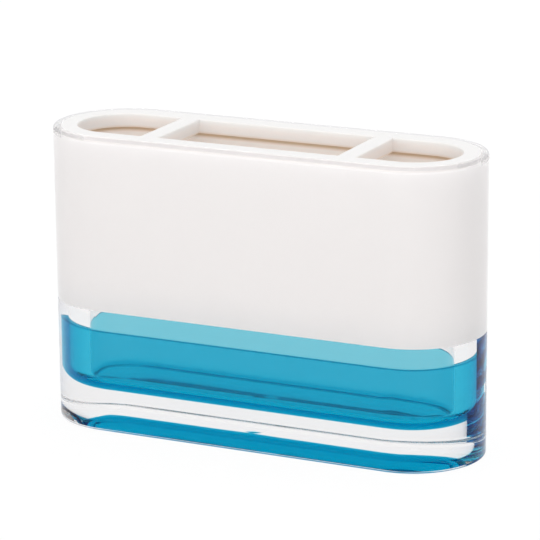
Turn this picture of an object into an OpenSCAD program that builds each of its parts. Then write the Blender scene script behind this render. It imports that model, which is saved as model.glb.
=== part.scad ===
// Oval toothbrush holder: a thick clear body moulded round a blue cup floor and a white sleeve,
// with a lift-out white ring that has three openings. Millimetres, +Z up, front along -Y.
// Origin: centre of the footprint on the surface that it stands on.

/* [Body] */
// Overall length of the oval body, along X
body_length = 170; // [140:1:220]
// Overall width of the oval body, along Y
body_width = 54; // [50:0.5:64]
// Overall height of the body
body_height = 112.2; // [95:0.1:140]
// Radius of the rounded lower outer edge
base_edge_r = 0.8; // [0.4:0.1:2]
// Radius of the rounded outer edge of the rim
rim_edge_r = 1; // [0.4:0.1:1.6]
// Clear wall outside the ring and the white sleeve
side_wall = 2.7; // [2.2:0.1:3.6]

/* [Underside] */
// Width of the foot on which the body stands, with its rounded edge
foot_width = 4.2; // [3:0.1:6]
// Height of the hollow underside at its middle
hollow_height = 3.6; // [1:0.1:4.4]
// Diameter of the round dimple that moulding left in the middle of the underside
gate_d = 10; // [5:0.5:12]
// Depth of the round dimple
gate_depth = 0.3; // [0.1:0.05:0.6]

/* [Clear band and blue cup floor] */
// Height at which the blue layer begins
blue_bottom_z = 13.6; // [10:0.1:16]
// Height of the blue layer's wall
blue_height = 23.2; // [15:0.2:26]
// Thickness of the blue wall
blue_wall = 1.8; // [1:0.1:2.4]
// Thickness of the blue floor
blue_floor = 2; // [1.2:0.1:4]
// Radius between blue wall and blue floor, inside the cup
blue_inner_r = 3.8; // [1:0.1:5]
// Radius of the blue layer's lower outer edge
blue_outer_r = 4.2; // [2:0.1:6]
// Height of the clear band between blue and white
clear_band_height = 9.2; // [5:0.1:14]
// Thickness of the clear wall outside the blue layer
clear_wall = 9.9; // [7:0.1:11]

/* [Ring with openings] */
// Thickness of the ring's flange
flange_thickness = 2.3; // [1.6:0.1:4]
// Width of the ring along its sides, from its edge to the openings' walls
side_land = 7.1; // [6:0.1:8]
// How much less that width is at the ring's two ends
end_land_less = 1.1; // [0:0.1:2]
// Depth of the openings' walls, from the top
skirt_depth = 5.3; // [4.6:0.1:12]
// Thickness of the walls round the openings, below the flange
skirt_wall = 1; // [0.8:0.1:1.4]
// Width of each of the two bars between the openings
bar_width = 7; // [5:0.1:12]
// Length of the middle opening
middle_length = 71.8; // [50:0.2:84]
// Radius of the rounded top edges of the openings
opening_edge_r = 0.6; // [0.3:0.1:1.4]
// Radius of the flange's outer top edge
flange_edge_r = 0.3; // [0.2:0.1:1]
// How far the ring stands below the rim
ring_sink = 0; // [0:0.1:1]

/* [Fits] */
// Gap all round between the ring and the body or the sleeve
ring_gap = 0.3; // [0.2:0.05:0.5]
// Bond line between the clear body and each coloured layer
bond_gap = 0.05; // [0.02:0.01:0.1]

/* [Hidden] */
$fn = 96;
cut = 1;
end_r = body_width / 2;
end_x = body_length / 2 - end_r;
// Heights, from the base up
band_bottom_z = blue_bottom_z + blue_height;
band_top_z = band_bottom_z + clear_band_height;
ring_top_z = body_height - ring_sink;
sleeve_top_z = ring_top_z - flange_thickness;
skirt_bottom_z = ring_top_z - skirt_depth;
// Radii of the rounded ends, from the outside in
bore_r = end_r - side_wall;
flange_r = bore_r - ring_gap;
sleeve_r = bore_r - bond_gap;
blue_pocket_r = end_r - clear_wall;
blue_r = blue_pocket_r - bond_gap;
cup_r = blue_r - blue_wall;
opening_r = flange_r - side_land;
skirt_r = opening_r + skirt_wall;
sleeve_bore_r = skirt_r + ring_gap;
// Places along the length
opening_end_x = end_x + end_land_less;
bar_inner_x = middle_length / 2;
bar_outer_x = bar_inner_x + bar_width;
// Underside hollow: an arc that rises from the foot to hollow_height at the middle
hollow_r = end_r - foot_width;
hollow_arc_r = (hollow_r * hollow_r + hollow_height * hollow_height) / (2 * hollow_height);
gate_arc_r = (gate_d * gate_d / 4 + gate_depth * gate_depth) / (2 * gate_depth);

// A half profile, x = distance from the middle line and y = height, taken round the oval.
module round_oval(to_x = end_x) {
    for (side = [0, 1])
        mirror([side, 0, 0]) translate([to_x, 0, 0]) rotate([0, 0, -90]) rotate_extrude(angle = 180) children();
    translate([-to_x, 0, 0]) rotate([90, 0, 90]) linear_extrude(2 * to_x) {
        children();
        mirror([1, 0]) children();
    }
}

// Block from the middle line out to r, between two heights, with rounded outer corners.
module block(r, low, high, low_r = 0, high_r = 0) {
    difference() {
        translate([0, low]) square([r, high - low]);
        if (low_r > 0) translate([r - low_r, low]) outer_corner(low_r);
        if (high_r > 0) translate([r - high_r, high]) mirror([0, 1]) outer_corner(high_r);
    }
}

// What a rounded corner leaves of its square, for cutting away.
module outer_corner(r) {
    difference() {
        translate([0, -cut]) square([r + cut, r + cut]);
        translate([0, r]) circle(r);
    }
}

module clear_body() {
    color([0.92, 0.95, 0.96, 0.35]) difference() {
        round_oval() difference() {
            block(end_r, 0, body_height, base_edge_r, rim_edge_r);
            block(bore_r, band_top_z, body_height + cut);
            block(cup_r, band_bottom_z - cut, band_top_z + cut);
            block(blue_pocket_r, blue_bottom_z, band_bottom_z, blue_outer_r);
            intersection() {
                translate([0, hollow_height - hollow_arc_r]) circle(hollow_arc_r, $fn = 360);
                translate([0, -cut]) square([hollow_r, hollow_height + 2 * cut]);
            }
        }
        translate([0, 0, hollow_height + gate_depth - gate_arc_r]) sphere(gate_arc_r);
    }
}

module blue_cup_floor() {
    color([0.05, 0.6, 0.78, 0.6]) round_oval() difference() {
        block(blue_r, blue_bottom_z + bond_gap, band_bottom_z - bond_gap, blue_outer_r - bond_gap);
        block(cup_r, blue_bottom_z + blue_floor, band_bottom_z + cut, blue_inner_r);
    }
}

module white_sleeve() {
    color([0.94, 0.93, 0.92]) difference() {
        round_oval() block(sleeve_r, band_top_z, sleeve_top_z);
        round_oval(opening_end_x) block(sleeve_bore_r, band_top_z - cut, sleeve_top_z + cut);
    }
}

// Cutting profile of an opening: straight walls with an edge that rounds outward at the top.
module opening_profile(half) {
    translate([0, skirt_bottom_z - cut]) square([half, skirt_depth + 2 * cut]);
    translate([0, ring_top_z - opening_edge_r]) difference() {
        square([half + opening_edge_r, opening_edge_r + cut]);
        translate([half + opening_edge_r, 0]) circle(opening_edge_r);
    }
}

// The same profile on both sides, drawn out across the ring.
module across(half, length) {
    rotate([90, 0, 0]) linear_extrude(length, center = true) {
        opening_profile(half);
        mirror([1, 0]) opening_profile(half);
    }
}

module ring_insert() {
    color([0.97, 0.96, 0.94]) difference() {
        union() {
            round_oval() block(flange_r, sleeve_top_z, ring_top_z, 0, flange_edge_r);
            round_oval(opening_end_x) block(skirt_r, skirt_bottom_z, sleeve_top_z + flange_edge_r);
        }
        // middle opening
        intersection() {
            round_oval(opening_end_x) opening_profile(opening_r);
            across(bar_inner_x, body_width);
        }
        // end openings, each with its straight wall at the bar
        for (side = [0, 1]) mirror([side, 0, 0]) intersection() {
            round_oval(opening_end_x) opening_profile(opening_r);
            translate([bar_outer_x + end_r, 0, 0]) across(end_r, body_width);
        }
    }
}

clear_body();
blue_cup_floor();
white_sleeve();
ring_insert();
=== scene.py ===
"""Looks of the oval toothbrush holder: clear body, blue cup floor, white sleeve and lift-out ring.

Metres, in the frame of the CAD: +Z up, front along -Y.
"""

import math
import bmesh
import bpy
from mathutils import Matrix, Vector

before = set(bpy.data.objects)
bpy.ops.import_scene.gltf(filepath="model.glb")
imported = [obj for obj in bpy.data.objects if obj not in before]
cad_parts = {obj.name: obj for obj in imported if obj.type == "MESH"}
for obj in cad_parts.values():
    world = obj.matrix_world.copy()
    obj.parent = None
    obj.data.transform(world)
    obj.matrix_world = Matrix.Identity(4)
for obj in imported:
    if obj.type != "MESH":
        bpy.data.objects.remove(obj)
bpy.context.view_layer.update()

MM = 0.001

# ---- sizes in millimetres, as in the part's source

LENGTH, WIDTH = 170.0, 54.0
END_R = WIDTH / 2
END_X = LENGTH / 2 - END_R
OPENING_END_X = END_X + 1.1
BLUE_BOTTOM_Z, BAND_BOTTOM_Z, BAND_TOP_Z = 13.6, 36.8, 46.0
RING_TOP_Z, SLEEVE_TOP_Z, SKIRT_BOTTOM_Z = 112.2, 109.9, 106.9
SLEEVE_R, SLEEVE_BORE_R = 24.3, 18.2
BLUE_R, CUP_R, BLUE_FLOOR = 17.1, 15.25, 2.0
RIM_EDGE_R = 1.0
BOND_GAP = 0.05

# Margins of the zones below: less than the bond line, just past it, and well past a surface
HAIR, SKIN, PAST = 0.02, 0.2, 1.0
# Less than any distance from the middle line
MIDDLE = -1.0
# Heights between which a colour changes: at the blue layer's lower edge, and, for painted shade, just below the
# ring's walls, at the foot of those walls, and at their rounded top
BLUE_EDGE_FADE = (BLUE_BOTTOM_Z + 0.8, BLUE_BOTTOM_Z + 3.2)
UNDERCUT_SHADE_FADE = (SKIRT_BOTTOM_Z - 2.4, SKIRT_BOTTOM_Z - 0.7)
WALL_FOOT_FADE = (SKIRT_BOTTOM_Z + 0.1, SKIRT_BOTTOM_Z + 1.0)
WALL_TOP_FADE = (RING_TOP_Z - 2.6, RING_TOP_Z - 0.3)
# Heights at which one begins or ends at once
BLUE_TOP_LINE = BAND_BOTTOM_Z - 0.3
UNDERCUT_Z = SKIRT_BOTTOM_Z + 0.3
PAINTED_GLOW_TOP_Z = SKIRT_BOTTOM_Z - 1.2
# The outer side of the ring's flange: its top, and a distance just inside it
RING_SIDE_TOP_Z, RING_SIDE_R = RING_TOP_Z - 0.25, SLEEVE_R - 0.6

# ---- plastics

CLEAR_IOR, WHITE_IOR = 1.49, 1.5
# Share of the light of lamps and world that goes straight through each clear or blue face
LAMP_SHARE = 0.63
# Share of all light that goes straight through the rim, where refraction would hide the ring's edge
RIM_SHARE = 0.7
# Roughness of the rim, and of the inner side of the wall this far below it, in mm
RIM_ROUGH, ROUGH_WALL = 0.22, 30
# Strength of the painted glow on the white sleeve's inside, which stands in for light coming through its wall
PAINTED_GLOW_STRENGTH = 0.055
# Bumps: strength, and depth in metres
FLOW_BUMP, GRAIN_BUMP = (0.1, 0.00006), (0.02, 0.00001)
WHITE = (1, 1, 1)
BLACK = (0, 0, 0)

# ---- studio

FLOOR_EDGE, FLOOR_STRIPS, CURVE_R, CURVE_STEP, BACKDROP_TOP = 1.6, 20, 0.5, 9, 2.6
FLOOR_COLUMNS = (-2.6, -1.0, 0.0, 1.0, 2.6)
FLOOR_DROP = 0.0001
FLOOR_GLOW, FLOOR_GLOW_SHARE = 1.02, 0.92
WORLD_COLOUR, WORLD_STRENGTH = (0.99, 0.99, 1.0), 1.0
LAMP_AIM = (0, 0, 0.06)
# Name, place, width and height, power, colour, and whether gloss shows it
LAMPS = (
    ("key", (0.0, -1.25, 0.2), (1.2, 0.3), 5.2, (1.0, 0.985, 0.97), True),
    ("back_fill", (0.0, 1.25, 0.25), (1.2, 0.4), 5.5, (1.0, 0.99, 0.98), False),
    ("side_fill", (1.25, 0.2, 0.08), (0.6, 0.15), 2.9, (1.0, 0.99, 0.985), False),
    ("left_fill", (-1.25, 0.0, 0.08), (0.6, 0.15), 1.3, (1.0, 0.99, 0.985), False),
)
# Camera of the photograph, from a fit to its outline: focal length in pixels of a 540 pixel picture, angles in
# degrees, and the part's middle against the picture's, the distance and the part's middle height in mm
CAM = dict(f=2941.0, yaw=25.63, pitch=15.33, roll=0.5, tx=-0.9, ty=5.6, dist=1085.0, mid=56.09)
SENSOR, PICTURE, CLIP_START = 36.0, 540.0, 0.05


def grey(value):
    return (value, value, value)


class Nodes:
    """A new material and short ways to build its node tree."""

    def __init__(self, name):
        self.m = bpy.data.materials.new(name)
        self.m.use_nodes = True
        self.t = self.m.node_tree
        self.t.nodes.clear()
        self.out = self.t.nodes.new("ShaderNodeOutputMaterial")

    def add(self, kind, **values):
        n = self.t.nodes.new("ShaderNode" + kind)
        for k, v in values.items():
            setattr(n, k, v)
        return n

    def link(self, a, b):
        self.t.links.new(a, b)

    def noise(self, scale, detail=2.0, rough=0.4, stretch=(1, 1, 1)):
        co = self.add("TexCoord")
        mp = self.add("Mapping")
        mp.inputs["Scale"].default_value = stretch
        self.link(co.outputs["Object"], mp.inputs["Vector"])
        n = self.add("TexNoise")
        n.inputs["Scale"].default_value = scale
        n.inputs["Detail"].default_value = detail
        n.inputs["Roughness"].default_value = rough
        self.link(mp.outputs[0], n.inputs["Vector"])
        return n.outputs["Fac"]

    def ramp(self, fac, *stops):
        r = self.add("ValToRGB")
        for e, (place, colour) in zip(r.color_ramp.elements, stops):
            e.position = place
            e.color = (*colour, 1)
        self.link(fac, r.inputs["Fac"])
        return r.outputs["Color"]

    def bump(self, height, strength, depth):
        b = self.add("Bump")
        b.inputs["Strength"].default_value = strength
        b.inputs["Distance"].default_value = depth
        self.link(height, b.inputs["Height"])
        return b.outputs["Normal"]

    def math(self, op, a, b=None):
        n = self.add("Math", operation=op)
        for i, v in enumerate((a, b)):
            if isinstance(v, (int, float)):
                n.inputs[i].default_value = v
            elif v is not None:
                self.link(v, n.inputs[i])
        return n.outputs[0]

    def blend(self, fac, a, b):
        m = self.add("Mix", data_type="RGBA")
        self.link(fac, m.inputs[0])
        for i, c in ((6, a), (7, b)):
            if isinstance(c, tuple):
                m.inputs[i].default_value = (*c, 1)
            else:
                self.link(c, m.inputs[i])
        return m.outputs[2]

    def blend_shaders(self, fac, a, b):
        m = self.add("MixShader")
        self.link(fac, m.inputs[0])
        self.link(a.outputs[0], m.inputs[1])
        self.link(b.outputs[0], m.inputs[2])
        return m

    def where(self, end_x=END_X):
        """Distance from the middle line, which ends at end_x mm, and height at the shaded point, both in metres."""
        co = self.add("TexCoord")
        xyz = self.add("SeparateXYZ")
        self.link(co.outputs["Object"], xyz.inputs[0])
        past_end = self.math("SUBTRACT", self.math("ABSOLUTE", xyz.outputs["X"]), end_x * MM)
        v = self.add("CombineXYZ")
        self.link(self.math("MAXIMUM", past_end, 0.0), v.inputs["X"])
        self.link(xyz.outputs["Y"], v.inputs["Y"])
        n = self.add("VectorMath", operation="LENGTH")
        self.link(v.outputs[0], n.inputs[0])
        return n.outputs["Value"], xyz.outputs["Z"]

    def between(self, value, low, high):
        above = self.math("GREATER_THAN", value, low * MM)
        return self.math("MULTIPLY", above, self.math("LESS_THAN", value, high * MM))

    def zone(self, r0, r1, z0, z1, end_x=END_X):
        """1 where the shaded point lies between r0 and r1 and between z0 and z1, in mm."""
        r, z = self.where(end_x)
        return self.math("MULTIPLY", self.between(r, r0, r1), self.between(z, z0, z1))

    def climb(self, z0, z1):
        """From 0 at the height z0 to 1 at the height z1, in mm, as a smooth step."""
        step = self.add("MapRange", interpolation_type="SMOOTHSTEP")
        self.link(self.where()[1], step.inputs["Value"])
        step.inputs["From Min"].default_value = z0 * MM
        step.inputs["From Max"].default_value = z1 * MM
        return step.outputs[0]


def moulded_clear(name, tint, absorb, density, bonded, bond_tint_and_painted_outline, matt=None):
    """See-through moulded plastic. Where bonded says so it meets another plastic and does not bend light."""
    k = Nodes(name)
    g = k.add("BsdfPrincipled")
    g.inputs["Base Color"].default_value = (*tint, 1)
    g.inputs["Transmission Weight"].default_value = 1.0
    g.inputs["IOR"].default_value = CLEAR_IOR
    # the room in front of the part is dim: its faces mirror it only where seen at a slant
    slant = k.ramp(k.add("LayerWeight").outputs["Facing"], (0.5, grey(0.1)), (0.8, grey(0.9)))
    mirror = k.blend(k.add("NewGeometry").outputs["Backfacing"], slant, WHITE)
    k.link(mirror, g.inputs["Specular Tint"])
    rough = k.ramp(k.noise(scale=30), (0.1, BLACK), (0.9, grey(0.002)))
    if matt:
        rough = k.blend(matt(k), rough, grey(RIM_ROUGH))
    k.link(rough, g.inputs["Roughness"])
    k.link(k.bump(k.noise(scale=22, stretch=(0.5, 1, 1.4)), *FLOW_BUMP), g.inputs["Normal"])
    through = k.add("BsdfTransparent")
    through.inputs["Color"].default_value = (*grey(LAMP_SHARE), 1)
    lit = k.blend_shaders(k.add("LightPath").outputs["Is Shadow Ray"], g, through)
    bond = k.add("BsdfTransparent")
    k.link(bond_tint_and_painted_outline(k), bond.inputs["Color"])
    surface = k.blend_shaders(bonded(k), lit, bond)
    k.link(surface.outputs[0], k.out.inputs["Surface"])
    v = k.add("VolumeAbsorption")
    v.inputs["Color"].default_value = (*absorb, 1)
    v.inputs["Density"].default_value = density
    k.link(v.outputs[0], k.out.inputs["Volume"])
    return k.m


def moulded_white(name, low, high, add_painted_shade, painted_glow=None):
    """Opaque gloss plastic: faint cloudy tint from low to high, fine grain and slightly uneven gloss."""
    k = Nodes(name)
    b = k.add("BsdfPrincipled")
    cloudy = k.ramp(k.noise(scale=18, detail=4, rough=0.55, stretch=(1, 1, 0.6)), (0.1, low), (0.9, high))
    k.link(add_painted_shade(k, cloudy), b.inputs["Base Color"])
    # an optional painted glow: an emission on the surface, though the plastic is no lamp
    if painted_glow:
        k.link(painted_glow(k), b.inputs["Emission Color"])
        b.inputs["Emission Strength"].default_value = PAINTED_GLOW_STRENGTH
    k.link(k.ramp(k.noise(scale=26), (0.1, grey(0.27)), (0.9, grey(0.31))), b.inputs["Roughness"])
    b.inputs["IOR"].default_value = WHITE_IOR
    k.link(k.bump(k.noise(scale=900, rough=0.5), *GRAIN_BUMP), b.inputs["Normal"])
    k.link(b.outputs[0], k.out.inputs["Surface"])
    return k.m


def set_material(o, m):
    if not o.material_slots:
        o.data.materials.append(m)
    for slot in o.material_slots:
        slot.material = m


# ---- where the plastics differ from place to place

def body_bond(k):
    """Where the clear body meets blue or white, and the share of straight light at the rim."""
    tray = k.zone(MIDDLE, BLUE_R + SKIN, BLUE_BOTTOM_Z - SKIN, BAND_BOTTOM_Z + HAIR)
    sleeve = k.zone(MIDDLE, SLEEVE_R + SKIN / 2, BAND_TOP_Z - HAIR, SLEEVE_TOP_Z - HAIR)
    bore = k.zone(MIDDLE, SLEEVE_BORE_R - HAIR, 0, SLEEVE_TOP_Z, OPENING_END_X)
    layers = k.math("MAXIMUM", tray, k.math("MULTIPLY", sleeve, k.math("SUBTRACT", 1.0, bore)))
    rim = k.math("MAXIMUM", rim_edge(k), k.math("MULTIPLY", rim_zone(k), RIM_SHARE))
    return k.math("MAXIMUM", layers, rim)


def rim_zone(k):
    """The rim of the body, outside the ring and above the sleeve."""
    return k.zone(SLEEVE_R - SKIN / 2, END_R + PAST, SLEEVE_TOP_Z, RING_TOP_Z + PAST)


def rim_edge(k):
    """The rounded outer edge of the rim."""
    return k.zone(END_R - RIM_EDGE_R, END_R + PAST, RING_TOP_Z - RIM_EDGE_R, RING_TOP_Z + PAST)


def rim_matt(k):
    """The rim, and the inner side of the wall below it, scatter light a little: a clear wall would sparkle there."""
    wall = k.zone(END_R - PAST / 2, END_R + PAST, RING_TOP_Z - ROUGH_WALL, RING_TOP_Z + PAST)
    inner = k.math("MULTIPLY", k.add("NewGeometry").outputs["Backfacing"], wall)
    return k.math("MAXIMUM", rim_zone(k), inner)


def rim_painted_outline(k):
    """Painted outline: a thin grey tint along the rim's rounded outer edge stands in for the line that refraction
    draws there.
    """
    return k.blend(rim_edge(k), WHITE, (0.86, 0.86, 0.868))


def tray_bond(k):
    """All faces of the blue layer but those of the cup's inside."""
    cup = k.zone(MIDDLE, CUP_R + HAIR, BLUE_BOTTOM_Z + BLUE_FLOOR - BOND_GAP, BAND_BOTTOM_Z)
    return k.math("SUBTRACT", 1.0, cup)


def tray_skins(k):
    """Deeper blue where light passes the underside of the cup floor, its rounded edge or the top of its wall."""
    side = k.blend(k.climb(*BLUE_EDGE_FADE), (0.15, 0.72, 0.84), (0.83, 0.855, 0.93))
    return k.blend(k.zone(MIDDLE, BLUE_R, BLUE_TOP_LINE, BAND_BOTTOM_Z), side, (0.18, 0.55, 0.68))


def sleeve_inside_painted_shade(k, outside):
    """Painted shade: warmer inside the sleeve, where little light reaches, and browner in the undercut just below
    the ring, where the ring's walls shade it.
    """
    undercut = k.zone(MIDDLE, END_R, UNDERCUT_Z, SLEEVE_TOP_Z)
    # painted shade: brown just below the ring's walls, fading downwards, and a lighter tan above, in the undercut
    # behind them
    undercut_shade = k.blend(undercut, (0.74, 0.54, 0.37), (0.93, 0.86, 0.785))
    inner = k.blend(k.climb(*UNDERCUT_SHADE_FADE), (0.98, 0.905, 0.84), undercut_shade)
    bore = k.zone(MIDDLE, SLEEVE_BORE_R + SKIN, BAND_TOP_Z, SLEEVE_TOP_Z + PAST, OPENING_END_X)
    return k.blend(bore, outside, inner)


def sleeve_painted_glow(k):
    """Painted glow: an emission on the sleeve's inside, below the ring, stands in for daylight coming through its
    thin wall.
    """
    bore = k.zone(MIDDLE, SLEEVE_BORE_R + SKIN, BAND_TOP_Z, PAINTED_GLOW_TOP_Z, OPENING_END_X)
    return k.blend(bore, BLACK, (1.0, 0.82, 0.88))


def ring_walls_painted_shade(k, top):
    """Painted shade: the walls of the ring's openings are warmer than its top, most of all at their lower edge, and
    the outer side of its flange is greyer.
    """
    wall = k.blend(k.climb(*WALL_FOOT_FADE), (0.86, 0.735, 0.635), (0.89, 0.835, 0.80))
    seen = k.blend(k.climb(*WALL_TOP_FADE), wall, top)
    side = k.zone(RING_SIDE_R, END_R, SLEEVE_TOP_Z - PAST, RING_SIDE_TOP_Z)
    # painted shade: the flange's outer side, in its gap to the body, is greyer
    return k.blend(side, seen, (0.86, 0.83, 0.815))


# ---- the four CAD solids and their materials

finish = {
    "clear_body": moulded_clear(
        "clear_plastic", tint=(0.895, 0.885, 0.885), absorb=(0.90, 0.97, 0.99), density=0.6,
        bonded=body_bond, bond_tint_and_painted_outline=rim_painted_outline, matt=rim_matt),
    "blue_cup_floor": moulded_clear(
        "blue_plastic", tint=(0.52, 0.81, 0.87), absorb=(0.0, 0.875, 0.937), density=600,
        bonded=tray_bond, bond_tint_and_painted_outline=tray_skins),
    "white_sleeve": moulded_white(
        "white_plastic", low=(0.972, 0.956, 0.950), high=(0.976, 0.960, 0.954),
        add_painted_shade=sleeve_inside_painted_shade, painted_glow=sleeve_painted_glow),
    "ring_insert": moulded_white(
        "ring_plastic", low=(0.876, 0.865, 0.85), high=(0.884, 0.873, 0.858), add_painted_shade=ring_walls_painted_shade),
}
for node, m in finish.items():
    set_material(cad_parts[node], m)


# ---- floor, backdrop and light

def studio_floor():
    """A floor that curves up into a backdrop behind the part."""
    profile = [(2 * FLOOR_EDGE * i / FLOOR_STRIPS - FLOOR_EDGE, 0.0) for i in range(FLOOR_STRIPS + 1)]
    for angle in range(CURVE_STEP, 91, CURVE_STEP):
        a = math.radians(angle)
        profile.append((FLOOR_EDGE + CURVE_R * math.sin(a), CURVE_R - CURVE_R * math.cos(a)))
    profile.append((FLOOR_EDGE + CURVE_R, BACKDROP_TOP))
    bm = bmesh.new()
    rows = [[bm.verts.new((x, y, z - FLOOR_DROP)) for x in FLOOR_COLUMNS] for y, z in profile]
    for a, b in zip(rows, rows[1:]):
        for i in range(len(FLOOR_COLUMNS) - 1):
            bm.faces.new((a[i], a[i + 1], b[i + 1], b[i]))
    me = bpy.data.meshes.new("studio_floor")
    bm.to_mesh(me)
    bm.free()
    for p in me.polygons:
        p.use_smooth = True
    o = bpy.data.objects.new("studio_floor", me)
    bpy.context.scene.collection.objects.link(o)
    return o


def studio_white(name):
    """Matt white that shows plain white to camera, gloss and refracted rays, and keeps a part of its shadows."""
    k = Nodes(name)
    d = k.add("BsdfDiffuse")
    cloudy = k.ramp(k.noise(scale=3, rough=0.5), (0.3, (0.86, 0.86, 0.865)), (0.7, grey(0.88)))
    k.link(cloudy, d.inputs["Color"])
    e = k.add("Emission")
    e.inputs["Color"].default_value = (*WHITE, 1)
    e.inputs["Strength"].default_value = FLOOR_GLOW
    path = k.add("LightPath").outputs
    seen = k.math("MAXIMUM", path["Is Camera Ray"], path["Is Transmission Ray"])
    seen = k.math("MAXIMUM", seen, path["Is Glossy Ray"])
    surface = k.blend_shaders(k.math("MULTIPLY", seen, FLOOR_GLOW_SHARE), d, e)
    k.link(surface.outputs[0], k.out.inputs["Surface"])
    k.m.cycles.emission_sampling = "NONE"
    return k.m


def lamp(name, place, size, power, colour, in_gloss):
    """An area lamp that neither the camera nor rays through the plastic see."""
    d = bpy.data.lights.new(name, "AREA")
    d.shape = "RECTANGLE"
    d.size, d.size_y = size
    d.energy = power
    d.color = colour
    o = bpy.data.objects.new(name, d)
    bpy.context.scene.collection.objects.link(o)
    o.location = place
    o.rotation_mode = "QUATERNION"
    o.rotation_quaternion = (Vector(LAMP_AIM) - Vector(place)).to_track_quat("-Z", "Y")
    o.visible_camera = o.visible_transmission = False
    o.visible_glossy = in_gloss


stage = studio_floor()
set_material(stage, studio_white("studio_white"))

world = bpy.data.worlds.new("studio")
bpy.context.scene.world = world
world.use_nodes = True
background = world.node_tree.nodes["Background"]
background.inputs["Color"].default_value = (*WORLD_COLOUR, 1)
background.inputs["Strength"].default_value = WORLD_STRENGTH

for row in LAMPS:
    lamp(*row)


# ---- camera

def camera():
    c = bpy.data.cameras.new("camera")
    o = bpy.data.objects.new("camera", c)
    bpy.context.scene.collection.objects.link(o)
    yaw, pitch, roll = (math.radians(CAM[k]) for k in ("yaw", "pitch", "roll"))
    cos_yaw, sin_yaw = math.cos(yaw), math.sin(yaw)
    cos_pitch, sin_pitch = math.cos(pitch), math.sin(pitch)
    right = Vector((cos_yaw, sin_yaw, 0))
    ahead = Vector((-sin_yaw * cos_pitch, cos_yaw * cos_pitch, -sin_pitch))
    down = ahead.cross(right)
    rolled_right = math.cos(roll) * right + math.sin(roll) * down
    rolled_down = -math.sin(roll) * right + math.cos(roll) * down
    eye = -CAM["tx"] * rolled_right - CAM["ty"] * rolled_down - CAM["dist"] * ahead + Vector((0, 0, CAM["mid"]))
    m = Matrix((rolled_right, -rolled_down, -ahead)).transposed().to_4x4()
    m.translation = eye * MM
    o.matrix_world = m
    c.sensor_width = SENSOR
    c.lens = CAM["f"] * SENSOR / PICTURE
    c.clip_start = CLIP_START
    return o


bpy.context.scene.camera = camera()
bpy.context.scene.view_settings.view_transform = "Standard"
cycles = bpy.context.scene.cycles
cycles.max_bounces = 32
cycles.transmission_bounces = 32
cycles.glossy_bounces = 24
cycles.transparent_max_bounces = 32
cycles.diffuse_bounces = 16

bpy.context.view_layer.update()
